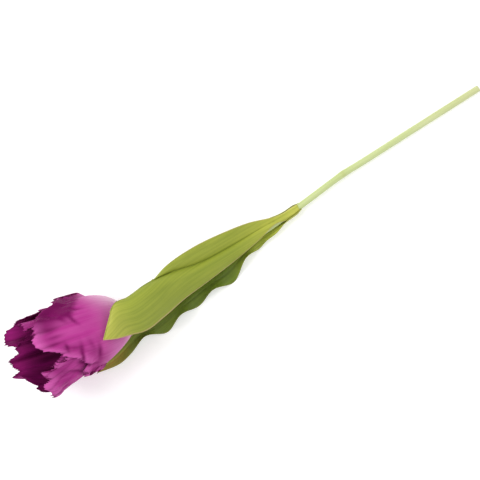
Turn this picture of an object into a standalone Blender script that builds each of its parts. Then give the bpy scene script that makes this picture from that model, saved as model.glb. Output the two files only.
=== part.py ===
"""A cut fringed tulip, lying on a table.

The flower lies along X on the plane z = 0: the bloom at the -X end with its mouth open and its belly
pressed a little flat, the stem running to its cut end at +X. Lengths in this file are millimetres and
are scaled to metres where a mesh is made. Every blade is an open grid that a formula bends into place
and Solidify thickens, so each petal and leaf is one closed solid.
"""

import math

import bmesh
import bpy
import numpy as np
from mathutils import Vector

MM = 0.001

# Driving dimensions, in millimetres and degrees
MIDDLE_OF_BOX = np.array([1.77, -27.06, 0.0])
STEM_RADIUS = 2.8
STEM_BEND_X = 95.7
RECEPTACLE_RADIUS = 3.8
BLADE_THICKNESS = 0.7
GAP = 0.3
BLOOM_BASE = np.array([-124.7, -36.5, 19.0])
BLOOM_HEADING = np.array([-0.985, 0.172, 0.0])
BLOOM_TILT = 20.0
PETAL_ARC = 116.0
PETAL_ROOT_RADIUS = 4.8
CUP_SPREAD = 0.86
WHORL_OFFSET = 1.75
OVERLAP_OFFSET = 0.95
RIPPLE_OUT = 5.4
RIPPLE_IN = 4.8
OVARY_LENGTH = 27.0
STAMEN_LENGTH = 31.0
COLLAR_RADIUS = 2.6
COLLAR_THICKNESS = 1.6
COLLAR_RISE = GAP + COLLAR_THICKNESS / 2

# Resolution of the blades
PETAL_COLUMNS = 22
PETAL_ROWS = 10
TEETH_PER_COLUMN = 2
STEM_POINTS = 56
LEAF_COLUMNS = 26
LEAF_ROWS = 8


def remove_old_objects():
    """Empty the scene without closing the file that this script runs from."""
    for item in list(bpy.data.objects):
        bpy.data.objects.remove(item)


def in_metres(point):
    """A point in metres, with the middle of the flower's box brought over the origin."""
    return Vector((point - MIDDLE_OF_BOX) * MM)


def smoothstep(value, low=0.0, high=1.0):
    """Rise from 0 at low to 1 at high, with level ends."""
    u = np.clip((np.asarray(value, float) - low) / (high - low), 0.0, 1.0)
    return u * u * (3.0 - 2.0 * u)


def through(value, stations, readings):
    """Read a smooth curve that passes through a reading at each station."""
    stations = np.asarray(stations, float)
    readings = np.asarray(readings, float)
    slopes = np.gradient(readings, stations)
    value = np.clip(np.asarray(value, float), stations[0], stations[-1])
    span = np.clip(np.searchsorted(stations, value, side="right") - 1, 0, len(stations) - 2)
    width = stations[span + 1] - stations[span]
    u = (value - stations[span]) / width
    start = (2 * u**3 - 3 * u**2 + 1) * readings[span] + (u**3 - 2 * u**2 + u) * width * slopes[span]
    end = (3 * u**2 - 2 * u**3) * readings[span + 1] + (u**3 - u**2) * width * slopes[span + 1]
    return start + end


# The bloom's own frame: its axis, the way that faces up, and the way that faces +Y
bloom_axis = BLOOM_HEADING * math.cos(math.radians(BLOOM_TILT)) / np.linalg.norm(BLOOM_HEADING)
bloom_axis = bloom_axis + np.array([0.0, 0.0, math.sin(math.radians(BLOOM_TILT))])
bloom_up = np.array([0.0, 0.0, 1.0]) - bloom_axis[2] * bloom_axis
bloom_up = bloom_up / np.linalg.norm(bloom_up)
bloom_side = np.cross(bloom_up, -bloom_axis)

# How far the cup's wall leans from its axis, in degrees, from its root to its rim on four sides
HEIGHTS = [0.0, 0.08, 0.18, 0.30, 0.45, 0.60, 0.75, 0.88, 1.0, 1.15]
LEAN_UP = [74, 66, 47, 24, 4, -5, -12, -14, -10, -6]
LEAN_LEFT = [74, 66, 48, 26, 8, -1, -4, 1, 9, 14]
LEAN_DOWN = [72, 62, 46, 28, 8, -2, -4, -2, 4, 10]
LEAN_RIGHT = [44, 35, 31, 30, 10, 14, 6, -44, -66, -70]


def cup_lean(azimuth, height):
    """Lean of the wall at an azimuth (0 up, 90 degrees to +Y) and a share of the petals' length."""
    up, left, down, right = (
        through(height, HEIGHTS, lean) for lean in (LEAN_UP, LEAN_LEFT, LEAN_DOWN, LEAN_RIGHT)
    )
    across, along = np.sin(azimuth), np.cos(azimuth)
    lean = along**2 * np.where(along > 0, up, down) + across**2 * np.where(across > 0, left, right)
    return np.radians(lean)


def cup(azimuth, height, steps=40):
    """Radius and rise of the cup that all petals share, by adding up the wall's lean from its root."""
    shares = (np.arange(steps) + 0.5) / steps
    heights = height[..., None] * shares
    leans = cup_lean(np.broadcast_to(azimuth[..., None], heights.shape), heights)
    radius = PETAL_ROOT_RADIUS + CUP_SPREAD * PETAL_ARC * height * np.sin(leans).mean(-1)
    rise = PETAL_ARC * height * np.cos(leans).mean(-1)
    return radius, rise


def common_folds(azimuth, height):
    """Broad folds that run through every layer alike, so that no petal cuts its neighbour."""
    grown = smoothstep(height, 0.25, 0.9)
    broad = 1.3 * np.sin(3 * azimuth + 0.6) + 0.7 * np.sin(2 * azimuth - 1.0 + 4 * height)
    return grown * (broad + 1.1 * np.sin(5 * azimuth + 2.1 + 2 * height))


def rim_ripples(azimuth, height, outer):
    """Ruffles toward the rim: outward only on the outer whorl and inward only on the inner one."""
    grown = smoothstep(height, 0.45, 1.0)
    if outer:
        wave = 0.5 + 0.32 * np.sin(11 * azimuth + 0.9) + 0.18 * np.sin(18 * azimuth + 2.0)
        return RIPPLE_OUT * grown * wave
    wave = 0.5 + 0.30 * np.sin(10 * azimuth + 2.4) + 0.20 * np.sin(17 * azimuth + 0.3)
    return -RIPPLE_IN * grown * wave


class Petal:
    """One petal: a fan of rays from its root, cut by a squarish outline with a toothed margin.

    Skew makes one side taller than the other. Bay and drop are what the outline loses on the side of
    rising azimuth and on the other side, both as shares of the length.
    """

    def __init__(
        self, name, azimuth, outer, half_width, length, overlaps,
        apex=0.0, skew=0.0, bay=0.0, drop=0.0, curl=0.0, seed=1,
    ):
        self.name = name
        self.azimuth = math.radians(azimuth)
        self.outer = outer
        self.half_width = math.radians(half_width)
        self.length = length
        self.overlaps = overlaps
        self.apex = apex
        self.skew = skew
        self.bay = bay
        self.drop = drop
        self.curl = curl
        self.seed = seed

    def outline(self, ray):
        """Share of the half width and of the length that the margin reaches along a ray."""
        across, along = np.sin(ray), np.abs(np.cos(ray))
        width = np.sign(across) * np.abs(across) ** 0.77
        lobes = 0.04 * np.sin(5 * ray + 1.3 * self.seed) + 0.03 * np.sin(9 * ray + 2.1 * self.seed)
        point = self.apex * np.exp(-((ray / 0.13) ** 2))
        taller = self.skew * across * along**0.5
        bay = self.bay * smoothstep(ray, 0.34, 0.52) * smoothstep(-ray, -1.50, -1.0)
        drop = self.drop * smoothstep(-ray, -0.05, 0.45) * (1.0 - 0.8 * smoothstep(-ray, 0.6, 1.2))
        height = (0.55 + 0.45 * along**0.77) * (1 + lobes * along) + point + taller - bay - drop
        return width, self.length * height

    def tooth(self, ray, along):
        """Length of the fringe at a ray: a zigzag of uneven teeth on the last of the blade."""
        count = PETAL_COLUMNS * TEETH_PER_COLUMN
        place = count * (ray / math.pi + 0.5)
        index = np.floor(place)
        zigzag = 1.0 - np.abs(2.0 * (place - index) - 1.0)
        size = 1.9 + 0.8 * np.sin(1.7 * index + self.seed) + 0.6 * np.sin(2.9 * index + 2 * self.seed)
        return (size * zigzag - 0.8) * (0.5 + 0.5 * np.abs(np.cos(ray))) * smoothstep(along, 0.88, 1.0)

    def surface(self, ray, along):
        """Points of the petal's outer face, for a ray of -90 to 90 degrees and 0 to 1 along it."""
        width, reach = self.outline(ray)
        tooth = self.tooth(ray, along)
        share = width * (0.7 + 0.3 * smoothstep(along, 0.0, 0.4))
        height = reach * along + tooth * np.cos(ray) / PETAL_ARC
        azimuth = self.azimuth + self.half_width * share + tooth * np.sin(ray) / 36.0
        grown = 0.62 + 0.38 * smoothstep(height, 0.0, 0.3)
        side = np.where(share > 0, self.overlaps[1], self.overlaps[0]) * np.abs(share)
        layer = grown * ((WHORL_OFFSET if self.outer else -WHORL_OFFSET) + OVERLAP_OFFSET * side)
        curl = self.curl * smoothstep(along, 0.70, 1.0) ** 1.5
        offset = layer + curl + common_folds(azimuth, height) + rim_ripples(azimuth, height, self.outer)
        radius, rise = cup(azimuth, height)
        lean = cup_lean(azimuth, height)
        radius = radius + offset * np.cos(lean)
        rise = rise - offset * np.sin(lean)
        outward = np.cos(azimuth)[..., None] * bloom_up + np.sin(azimuth)[..., None] * bloom_side
        points = BLOOM_BASE + bloom_axis * rise[..., None] + outward * radius[..., None]
        pressed = 1.3 * np.maximum(WHORL_OFFSET - layer, 0.0)
        points[..., 2] = np.maximum(points[..., 2], pressed)
        return points


PETALS = [
    Petal(
        "petal_outer_front", 14, True, 84, 0.85, overlaps=(1, 1),
        skew=0.14, bay=0.20, drop=0.165, curl=2.0, seed=1,
    ),
    Petal("petal_outer_left", 154, True, 68, 0.89, overlaps=(-1, 1), apex=0.14, seed=2),
    Petal("petal_outer_right", -86, True, 70, 0.88, overlaps=(-1.3, -1.3), skew=0.20, seed=3),
    Petal("petal_inner_top", 80, False, 62, 0.93, overlaps=(-1, 1), seed=4),
    Petal("petal_inner_back", 204, False, 66, 1.02, overlaps=(-1, 1), seed=5),
    Petal("petal_inner_low", -40, False, 62, 0.76, overlaps=(-1, 1), seed=6),
]

# The stem's centre line from the cut end to the receptacle, as x, y and z
STEM_ROUTE = np.array([
    [234.0, 1.4, 2.8],
    [165.0, -4.0, 3.4],
    [110.0, -8.4, 4.2],
    [95.7, -9.4, 4.5],
    [82.0, -11.4, 4.9],
    [49.9, -16.4, 6.0],
    [0.0, -22.6, 8.4],
    [-55.0, -29.6, 11.6],
    [-95.0, -35.4, 13.0],
    [-110.0, -37.4, 15.0],
    [-119.1, -37.5, 17.0],
    [-124.7, -36.5, 19.0],
])


def stem_centre(x):
    """Centre of the stem, as y and z, where it passes x."""
    route = STEM_ROUTE[::-1]
    return through(x, route[:, 0], route[:, 1]), through(x, route[:, 0], route[:, 2])


class Leaf:
    """One leaf: a sheath round the stem at its root that opens into a blade between guide curves.

    The guides are y of the two margins and of the midrib, with the midrib's z and how far each margin
    lies above it, all at the same stations along x. Arch bulges the blade between rib and lower margin.
    """

    def __init__(self, name, stations, upper, rib, lower, rib_z, upper_rise, lower_rise, arch):
        self.name = name
        self.stations = stations
        self.guides = {
            "upper": upper,
            "rib": rib,
            "lower": lower,
            "rib_z": rib_z,
            "upper_rise": upper_rise,
            "lower_rise": lower_rise,
            "arch": arch,
        }
        self.sheath_arc = (0.0, 0.0)
        self.sheath_radius = STEM_RADIUS
        self.wave = (0.0, 0.0, 1.0)

    def guide(self, name, x):
        return through(x, self.stations, self.guides[name])

    def surface(self, along, across):
        """Points of the blade, for 0 to 1 from root to tip and -1 to 1 from lower to upper margin."""
        tip, root = self.stations[0], self.stations[-1]
        x = root + (tip - root) * along
        share = np.abs(across)
        above = across > 0
        rib = self.guide("rib", x)
        margin = np.where(above, self.guide("upper", x), self.guide("lower", x))
        rise = np.where(above, self.guide("upper_rise", x), self.guide("lower_rise", x))
        arch = self.guide("arch", x) * np.where(above, 0.25, 1.0) * np.sin(math.pi * share**0.8)
        y = rib + (margin - rib) * share
        z = self.guide("rib_z", x) + rise * share + arch
        sideways, upward, pitch = self.wave
        phase = 2 * math.pi * (x + 31.0) / pitch
        edge = np.where(above, 0.3, 1.0) * share**2
        edge = edge * smoothstep(x, tip, tip + 30.0) * smoothstep(-x, -15.0, 5.0)
        y = y - sideways * np.cos(phase) * edge
        z = z - upward * np.cos(phase) * edge
        stem_y, stem_z = stem_centre(x)
        turn = np.radians(self.sheath_arc[0] + (self.sheath_arc[1] - self.sheath_arc[0]) * (across + 1) / 2)
        wrap = smoothstep(x, 20.0, 40.0)
        y = y + (stem_y + self.sheath_radius * np.sin(turn) - y) * wrap
        z = z + (stem_z + self.sheath_radius * np.cos(turn) - z) * wrap
        reach = np.hypot(y - stem_y, z - stem_z)
        clear = np.maximum(reach, self.sheath_radius) / reach
        y = stem_y + (y - stem_y) * clear
        z = np.maximum(stem_z + (z - stem_z) * clear, BLADE_THICKNESS / 2)
        return np.stack([x, y, z], -1)


def upper_leaf():
    """The leaf over the stem, whose broad end lies on the bloom's shoulder."""
    leaf = Leaf(
        "leaf_upper",
        stations=[-148.0, -138, -128, -115, -97, -75, -50, -20, 5, 25, 48],
        upper=[-38.4, -27.0, -17.6, -18.6, -16.0, -8.1, -4.9, -5.7, -8.7, -13.8, -14.0],
        rib=[-38.4, -28.0, -16.6, -16.2, -13.6, -14.6, -19.0, -19.3, -18.0, -16.7, -16.4],
        lower=[-38.4, -42.6, -45.2, -48.5, -45.8, -40.5, -36.6, -31.4, -25.8, -19.8, -18.0],
        rib_z=[66.0, 64.0, 59.5, 52.5, 42.5, 33.0, 25.0, 18.0, 14.0, 11.8, 9.8],
        upper_rise=[0.0, 0.0, -1.5, -5.0, -5.0, 2.0, 5.0, 5.0, 3.5, 1.0, 0.0],
        lower_rise=[0.0, -1.0, -3.0, -6.0, -6.0, -4.0, -2.0, -1.0, -1.0, 0.0, 0.0],
        arch=[0.0, 1.5, 4.0, 7.0, 8.0, 7.0, 5.0, 3.0, 1.5, 0.3, 0.0],
    )
    leaf.sheath_radius = STEM_RADIUS + GAP + BLADE_THICKNESS / 2
    leaf.sheath_arc = (-95.0, 75.0)
    leaf.wave = (0.0, 0.9, 47.0)
    return leaf


def lower_leaf():
    """The leaf below the stem, waved along its outer margin, whose tip passes under the bloom."""
    leaf = Leaf(
        "leaf_lower",
        stations=[-172.5, -150, -125, -100, -65, -30, 0, 22, 50],
        upper=[-62.0, -54.5, -45.0, -34.0, -25.0, -17.0, -12.0, -13.0, -14.0],
        rib=[-62.0, -57.5, -51.0, -46.0, -39.0, -33.0, -25.0, -22.0, -16.4],
        lower=[-62.0, -64.2, -56.5, -55.0, -49.0, -43.5, -31.5, -27.5, -19.0],
        rib_z=[8.0, 5.0, 4.0, 4.0, 4.0, 4.0, 3.0, 2.6, 2.4],
        upper_rise=[0.0, 1.0, 1.0, 2.0, 1.0, 0.0, 0.0, 0.3, 1.0],
        lower_rise=[0.0, 1.0, 1.0, 1.0, 1.0, 1.0, 3.0, 4.0, 4.0],
        arch=[0.0] * 9,
    )
    leaf.sheath_radius = STEM_RADIUS + 2 * GAP + 1.5 * BLADE_THICKNESS
    leaf.sheath_arc = (-50.0, -250.0)
    leaf.wave = (2.6, 5.0, 36.0)
    return leaf


def material(name, colour, roughness):
    """A plain Principled material in the piece's own colour."""
    made = bpy.data.materials.new(name)
    made.use_nodes = True
    shader = made.node_tree.nodes["Principled BSDF"]
    shader.inputs["Base Color"].default_value = (*colour, 1.0)
    shader.inputs["Roughness"].default_value = roughness
    made.diffuse_color = (*colour, 1.0)
    return made


def add_object(name, mesh, collection, surface_material):
    mesh.materials.append(surface_material)
    made = bpy.data.objects.new(name, mesh)
    collection.objects.link(made)
    return made


def thicken(item, offset):
    """Thicken a blade, to both sides of its surface with offset 0 or to its inner side with -1."""
    shell = item.modifiers.new("thickness", "SOLIDIFY")
    shell.thickness = BLADE_THICKNESS * MM
    shell.offset = offset


def bend_grid(name, columns, rows, place, rim_cuts=0):
    """A flat grid over the unit square whose corners are then placed by a formula.

    Where rim_cuts is given, the last row's edges are cut into that many more corners for the fringe.
    Everything is cut to triangles while it is flat, so both faces of the blade fold alike.
    """
    grid = bmesh.new()
    bmesh.ops.create_grid(grid, x_segments=columns, y_segments=rows, size=0.5)
    if rim_cuts:
        rim = [edge for edge in grid.edges if all(corner.co.y > 0.499 for corner in edge.verts)]
        bmesh.ops.subdivide_edges(grid, edges=rim, cuts=rim_cuts)
    bmesh.ops.triangulate(grid, faces=grid.faces)
    flat = np.array([corner.co for corner in grid.verts]) + 0.5
    for corner, point in zip(grid.verts, place(flat[:, 0], flat[:, 1])):
        corner.co = in_metres(point)
    mesh = bpy.data.meshes.new(name)
    grid.to_mesh(mesh)
    grid.free()
    mesh.shade_smooth()
    return mesh


def make_petal(petal, collection, petal_material):
    def place(across, along):
        return petal.surface(math.pi * (across - 0.5), along**1.3)

    cuts = 2 * TEETH_PER_COLUMN - 1
    mesh = bend_grid(petal.name, PETAL_COLUMNS, PETAL_ROWS, place, rim_cuts=cuts)
    thicken(add_object(petal.name, mesh, collection, petal_material), offset=-1.0)


def make_leaf(leaf, collection, leaf_material):
    def place(along, across):
        return leaf.surface(along, 2.0 * across - 1.0)

    mesh = bend_grid(leaf.name, LEAF_COLUMNS, LEAF_ROWS, place)
    thicken(add_object(leaf.name, mesh, collection, leaf_material), offset=0.0)


def stem_radius(x):
    """Radius of the stem where it passes x: a low knot at the bend, and the receptacle's swelling."""
    knot = 0.25 * math.exp(-(((x - STEM_BEND_X) / 5.0) ** 2))
    swelling = (RECEPTACLE_RADIUS - STEM_RADIUS) * smoothstep(BLOOM_BASE[0] + 9.0 - x, 0.0, 7.0)
    return STEM_RADIUS + knot + float(swelling)


def make_stem(collection, stem_material):
    """A tube along the route, read from a smooth curve and swollen under the petals."""
    x = np.linspace(STEM_ROUTE[0, 0], STEM_ROUTE[-1, 0], STEM_POINTS)
    line = np.stack([x, *stem_centre(x)], -1)
    curve = bpy.data.curves.new("stem", "CURVE")
    curve.dimensions = "3D"
    curve.bevel_depth = MM
    curve.bevel_resolution = 3
    curve.use_fill_caps = True
    spline = curve.splines.new("POLY")
    spline.points.add(len(line) - 1)
    for point, place in zip(spline.points, line):
        point.co = (*in_metres(place), 1.0)
        point.radius = stem_radius(place[0])
    curve.materials.append(stem_material)
    collection.objects.link(bpy.data.objects.new("stem", curve))


def in_bloom(radius, azimuth, rise):
    """A point from its distance round and along the bloom's axis."""
    outward = math.cos(azimuth) * bloom_up + math.sin(azimuth) * bloom_side
    return in_metres(BLOOM_BASE + bloom_axis * rise + outward * radius)


def make_pistil(collection, pistil_material):
    """A three-sided ovary with a three-lobed stigma on top, from one sphere."""
    ball = bmesh.new()
    bmesh.ops.create_uvsphere(ball, u_segments=18, v_segments=12, radius=1.0)
    for corner in ball.verts:
        share = (corner.co.z + 1.0) / 2.0
        azimuth = math.atan2(corner.co.y, corner.co.x)
        ring = math.hypot(corner.co.x, corner.co.y)
        stigma = float(smoothstep(share, 0.80, 0.92))
        lobes = math.cos(3 * azimuth)
        radius = ring * (2.6 + 0.2 * lobes + stigma * (2.4 + 1.3 * lobes))
        corner.co = in_bloom(radius, azimuth, GAP + OVARY_LENGTH * share)
    mesh = bpy.data.meshes.new("pistil")
    bmesh.ops.recalc_face_normals(ball, faces=ball.faces)
    ball.to_mesh(mesh)
    ball.free()
    mesh.shade_smooth()
    add_object("pistil", mesh, collection, pistil_material)


def add_stamen(cloth, azimuth):
    """One filament with its anther, bent from a sphere whose root sinks into the collar."""
    made = bmesh.ops.create_uvsphere(cloth, u_segments=8, v_segments=12, radius=1.0)
    for corner in made["verts"]:
        share = (corner.co.z + 1.0) / 2.0
        ring = math.hypot(corner.co.x, corner.co.y)
        anther = float(smoothstep(share, 0.52, 0.64))
        thick = 0.8 + 1.0 * anther
        centre = COLLAR_RADIUS + 1.6 * float(smoothstep(share, 0.0, 0.15)) + 5.0 * share**1.5
        turn = math.atan2(corner.co.y, corner.co.x)
        out = centre + thick * ring * math.cos(turn)
        aside = thick * ring * math.sin(turn)
        corner.co = in_bloom(out, azimuth, COLLAR_RISE + STAMEN_LENGTH * share)
        sideways = -math.sin(azimuth) * bloom_up + math.cos(azimuth) * bloom_side
        corner.co += Vector(sideways * aside * MM)


def make_stamens(collection, anther_material):
    """Six stamens in a ring, joined at their roots by a thin collar round the ovary."""
    roots = bmesh.new()
    for turn in range(6):
        add_stamen(roots, math.radians(60 * turn + 30))
    bmesh.ops.recalc_face_normals(roots, faces=roots.faces)
    mesh = bpy.data.meshes.new("stamen_ring")
    roots.to_mesh(mesh)
    roots.free()
    ring = add_object("stamen_ring", mesh, collection, anther_material)
    ring.hide_render = True
    ring.display_type = "WIRE"
    centre = in_bloom(0.0, 0.0, COLLAR_RISE)
    heading = Vector(bloom_axis).to_track_quat("Z", "Y").to_euler()
    bpy.ops.mesh.primitive_torus_add(
        location=centre,
        rotation=heading,
        major_segments=24,
        minor_segments=8,
        major_radius=COLLAR_RADIUS * MM,
        minor_radius=COLLAR_THICKNESS / 2 * MM,
    )
    collar = bpy.context.object
    collar.name = "stamens"
    collar.data.materials.append(anther_material)
    for old in list(collar.users_collection):
        old.objects.unlink(collar)
    collection.objects.link(collar)
    join = collar.modifiers.new("stamens", "BOOLEAN")
    join.operation = "UNION"
    join.object = ring


def main():
    remove_old_objects()
    flower = bpy.data.collections.new("Fringed tulip")
    bpy.context.scene.collection.children.link(flower)
    magenta = material("petal magenta", (0.52, 0.08, 0.34), 0.6)
    deep = material("petal deep magenta", (0.30, 0.03, 0.18), 0.6)
    light_green = material("leaf light green", (0.36, 0.42, 0.07), 0.55)
    dark_green = material("leaf dark green", (0.16, 0.24, 0.04), 0.55)
    pale_green = material("stem pale green", (0.60, 0.68, 0.32), 0.5)
    plum = material("anther plum", (0.06, 0.02, 0.07), 0.8)
    for petal in PETALS:
        make_petal(petal, flower, magenta if petal.outer else deep)
    make_leaf(upper_leaf(), flower, light_green)
    make_leaf(lower_leaf(), flower, dark_green)
    make_stem(flower, pale_green)
    make_pistil(flower, pale_green)
    make_stamens(flower, plum)


main()
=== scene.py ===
# %% [markdown]
# A cut fringed tulip that lies on a table, seen from straight above. The frame holds the solids of its
# stem, leaves, petals, pistil and stamens. This lesson gives each of them its fine surface: petals with a
# toothed fringe and ruffles, leaves with ribs, and finishes that follow each blade from root to margin.

import math

import bpy
import numpy as np
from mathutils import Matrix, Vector


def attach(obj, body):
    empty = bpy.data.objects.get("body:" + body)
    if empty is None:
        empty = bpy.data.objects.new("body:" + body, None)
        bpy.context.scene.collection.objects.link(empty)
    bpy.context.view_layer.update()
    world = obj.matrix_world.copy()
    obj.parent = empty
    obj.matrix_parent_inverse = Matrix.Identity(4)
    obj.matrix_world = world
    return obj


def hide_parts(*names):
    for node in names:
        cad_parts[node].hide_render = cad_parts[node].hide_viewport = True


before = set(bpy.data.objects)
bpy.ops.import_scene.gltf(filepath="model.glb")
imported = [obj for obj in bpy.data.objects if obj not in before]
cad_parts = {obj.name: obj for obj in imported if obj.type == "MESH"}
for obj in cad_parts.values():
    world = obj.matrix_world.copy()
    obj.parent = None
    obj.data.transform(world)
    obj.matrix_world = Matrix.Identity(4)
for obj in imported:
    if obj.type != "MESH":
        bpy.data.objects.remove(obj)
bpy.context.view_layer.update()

# %% [markdown]
# Lengths below are millimetres, because a petal is easier to think of as 100 mm than as 0.1 m. The flower
# was drawn where the photograph shows it, and then moved so that the middle of its box is the origin.

# %% Units
MM = 0.001
MIDDLE_OF_BOX = np.array([1.77, -27.06, 0.0])


def in_metres(points):
    """Points in metres, moved so that the middle of the flower's box is over the origin."""
    return (np.asarray(points, float) - MIDDLE_OF_BOX) * MM


print("middle of the flower as it was drawn, mm:", MIDDLE_OF_BOX.tolist())

# %% [markdown]
# Three curves serve every shape below. A smooth step fades one thing into another, a cubic through given
# readings draws a guide line, and a bell curve makes one soft fold, groove or knot.


# %% Three curves
def smoothstep(value, low=0.0, high=1.0):
    """3u^2 - 2u^3, where u is how far the value has come from low to high: level at both ends."""
    u = np.clip((np.asarray(value, float) - low) / (high - low), 0.0, 1.0)
    return u * u * (3.0 - 2.0 * u)


def through(value, stations, readings):
    """A cubic through each reading, whose slope at a station is that of its two neighbours."""
    stations = np.asarray(stations, float)
    readings = np.asarray(readings, float)
    slopes = np.gradient(readings, stations)
    value = np.clip(np.asarray(value, float), stations[0], stations[-1])
    span = np.clip(np.searchsorted(stations, value, side="right") - 1, 0, len(stations) - 2)
    width = stations[span + 1] - stations[span]
    u = (value - stations[span]) / width
    start = (2 * u**3 - 3 * u**2 + 1) * readings[span] + (u**3 - 2 * u**2 + u) * width * slopes[span]
    end = (3 * u**2 - 2 * u**3) * readings[span + 1] + (u**3 - u**2) * width * slopes[span + 1]
    return start + end


def bump_at(value, centre, width):
    """A bell curve: e to the power of minus the squared distance from its centre, in widths."""
    return np.exp(-(((value - centre) / width) ** 2))


print("a quarter of the way along, a smooth step has come to", float(smoothstep(0.25)))

# %% [markdown]
# The photograph looks straight down with a long lens, so nothing runs together with distance. The camera
# hangs over the middle of its view and is turned about its own line of sight, which lays the stem from
# lower left to upper right.

# %% Camera
CAMERA_OVER = np.array([-9.6, -18.1])
CAMERA_HEIGHT = 1386.4
CAMERA_TURN = math.radians(27.9)
CAMERA_LENS = 120.0
CAMERA_CLIP_END = 20.0

scene = bpy.context.scene
camera = bpy.data.objects.new("camera", bpy.data.cameras.new("camera"))
camera.data.lens = CAMERA_LENS
camera.data.clip_end = CAMERA_CLIP_END
camera.location = in_metres([*CAMERA_OVER, CAMERA_HEIGHT])
camera.rotation_euler = (0.0, 0.0, -CAMERA_TURN)
scene.collection.objects.link(camera)
scene.camera = camera
print(f"the view is {camera.data.sensor_width / CAMERA_LENS * CAMERA_HEIGHT:.0f} mm wide on the floor")

# %% [markdown]
# A studio sweep is white all over and hides where floor and wall meet. A wide pale floor that glows a
# little does the same here, because its glow fills in most of the flower's shadow.

# %% Floor
FLOOR_REACH = 3.0
FLOOR_WHITE = (0.93, 0.93, 0.93, 1.0)
FLOOR_ROUGHNESS = 0.95
FLOOR_GLOW = 0.22
WHITE = (1.0, 1.0, 1.0, 1.0)

floor_corners = [(x * FLOOR_REACH, y * FLOOR_REACH, 0.0) for x, y in ((-1, -1), (1, -1), (1, 1), (-1, 1))]
floor_mesh = bpy.data.meshes.new("floor")
floor_mesh.from_pydata(floor_corners, [], [(0, 1, 2, 3)])
floor = bpy.data.objects.new("floor", floor_mesh)
floor_paint = bpy.data.materials.new("floor white")
floor_paint.use_nodes = True
floor_shader = floor_paint.node_tree.nodes["Principled BSDF"]
floor_shader.inputs["Base Color"].default_value = FLOOR_WHITE
floor_shader.inputs["Roughness"].default_value = FLOOR_ROUGHNESS
floor_shader.inputs["Emission Color"].default_value = WHITE
floor_shader.inputs["Emission Strength"].default_value = FLOOR_GLOW
floor_mesh.materials.append(floor_paint)
scene.collection.objects.link(floor)
print(f"the floor is {2 * FLOOR_REACH:.0f} m wide")

# %% [markdown]
# The light comes from everywhere, so the sky is white and even. One wide soft lamp from the upper left
# gives the petals a lit side and a shaded side, and a weaker one keeps the shaded side open.

# %% Sky and lamps
SKY_STRENGTH = 0.72
LAMPS = {
    # place in metres, width in metres, power in watts
    "key lamp": ((-0.75, 0.75, 1.3), 0.9, 17.0),
    "fill lamp": ((1.0, -0.6, 1.2), 1.2, 5.0),
}

scene.view_settings.view_transform = "Standard"
sky = bpy.data.worlds.new("studio")
sky.use_nodes = True
sky.node_tree.nodes["Background"].inputs["Color"].default_value = WHITE
sky.node_tree.nodes["Background"].inputs["Strength"].default_value = SKY_STRENGTH
scene.world = sky

for name, (place, width, watts) in LAMPS.items():
    lamp = bpy.data.objects.new(name, bpy.data.lights.new(name, "AREA"))
    lamp.data.size = width
    lamp.data.energy = watts
    lamp.location = place
    lamp.rotation_euler = (-Vector(place)).to_track_quat("-Z", "Y").to_euler()
    scene.collection.objects.link(lamp)
    print(f"{name}: {watts:.0f} W, {lamp.location.length:.2f} m from the flower")

# %% [markdown]
# Petals and leaves are blades, and a blade starts as a grid of points. Three helpers serve every grid: its
# normals, its quads, and the loop of points round its edge.


# %% Grids of points
def grid_normals(points):
    """Unit normals of a grid: the cross product of its two directions."""
    across = np.gradient(points, axis=0)
    along = np.gradient(points, axis=1)
    normal = np.cross(across, along)
    return normal / np.maximum(np.linalg.norm(normal, axis=-1, keepdims=True), 1e-9)


def grid_quads(columns, rows, first=0):
    """Corner numbers of each quad of a grid, facing the side that its normals point to."""
    number = np.arange(columns * rows).reshape(columns, rows) + first
    return np.stack([number[:-1, :-1], number[1:, :-1], number[1:, 1:], number[:-1, 1:]], -1).reshape(-1, 4)


def edge_loop(columns, rows):
    """Numbers of the grid's outermost points, once round."""
    number = np.arange(columns * rows).reshape(columns, rows)
    return np.concatenate([number[:-1, 0], number[-1, :-1], number[:0:-1, -1], number[0, :0:-1]])


print("a grid of 3 by 3 points has", len(grid_quads(3, 3)), "quads and", len(edge_loop(3, 3)), "edge points")

# %% [markdown]
# Every piece of the flower becomes an object in the same way. Besides its points and faces it carries
# notes, which are one number a point for the finish to read, such as how far the margin is.


# %% A piece from arrays
def new_piece(name, points, faces, finish, replaced, notes, layout=None):
    """A smooth mesh object from whole arrays, with a float attribute for each note and a UV map."""
    mesh = bpy.data.meshes.new(name)
    mesh.from_pydata(in_metres(points).tolist(), [], faces)
    mesh.update()
    mesh.shade_smooth()
    for label, values in notes.items():
        mesh.attributes.new(label, "FLOAT", "POINT").data.foreach_set("value", values.astype(np.float32))
    if layout is not None:
        corner = np.empty(len(mesh.loops), np.int32)
        mesh.loops.foreach_get("vertex_index", corner)
        mesh.uv_layers.new(name="blade").data.foreach_set("uv", layout[corner].astype(np.float32).ravel())
    mesh.materials.append(finish)
    piece = bpy.data.objects.new(name, mesh)
    scene.collection.objects.link(piece)
    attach(piece, "root")
    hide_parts(replaced)
    triangles = sum(len(polygon.vertices) - 2 for polygon in mesh.polygons)
    print(f"{name}: {triangles} triangles")


# %% [markdown]
# A blade is a thin sheet with two faces and a narrow edge all round. A grid gives the outer face. The
# inner face is the same grid set back along its normals, and a strip of quads round the edge closes the
# two into one skin. Doing it by hand, and not with Solidify, lets the blade thin toward its fringe and
# lets each point know which face it is on.


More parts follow.
